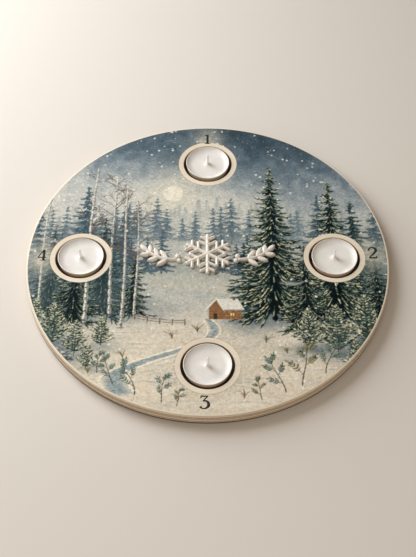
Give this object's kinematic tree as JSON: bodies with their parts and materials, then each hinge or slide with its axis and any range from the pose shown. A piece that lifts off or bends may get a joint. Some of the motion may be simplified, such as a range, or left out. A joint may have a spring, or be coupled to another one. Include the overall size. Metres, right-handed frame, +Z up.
{
  "type": "advent wreath board",
  "caption": "Flat round wooden advent board with numbered recesses holding tealights and a raised snowflake between two sprigs.",
  "frame": {"origin": "centre of the board's underside, on the surface it rests on", "axes": "+Z up through the board's thickness, +Y from the place numbered 3 to the place numbered 1, +X to the place numbered 2"},
  "size_m": [0.3, 0.3, 0.0233],
  "materials": {
    "board": "sanded plywood, matt clear coat, winter scene printed on the top face",
    "print": "matt printed ink on the board's top face",
    "ornament": "painted cream white, satin",
    "cup": "bright drawn foil",
    "wax": "smooth white wax, softly translucent",
    "wick": "waxed cotton braid",
    "wick_foot": "tinned steel"
  },
  "bodies": {
    "root": {"board": "board", "cup_1": "cup", "cup_2": "cup", "cup_3": "cup", "cup_4": "cup", "wax_1": "wax", "wax_2": "wax", "wax_3": "wax", "wax_4": "wax", "wick_1": "wick", "wick_2": "wick", "wick_3": "wick", "wick_4": "wick", "wick_foot_1": "wick_foot", "wick_foot_2": "wick_foot", "wick_foot_3": "wick_foot", "wick_foot_4": "wick_foot", "snowflake": "ornament", "sprig_left": "ornament", "sprig_right": "ornament"}
  },
  "joints": []
}
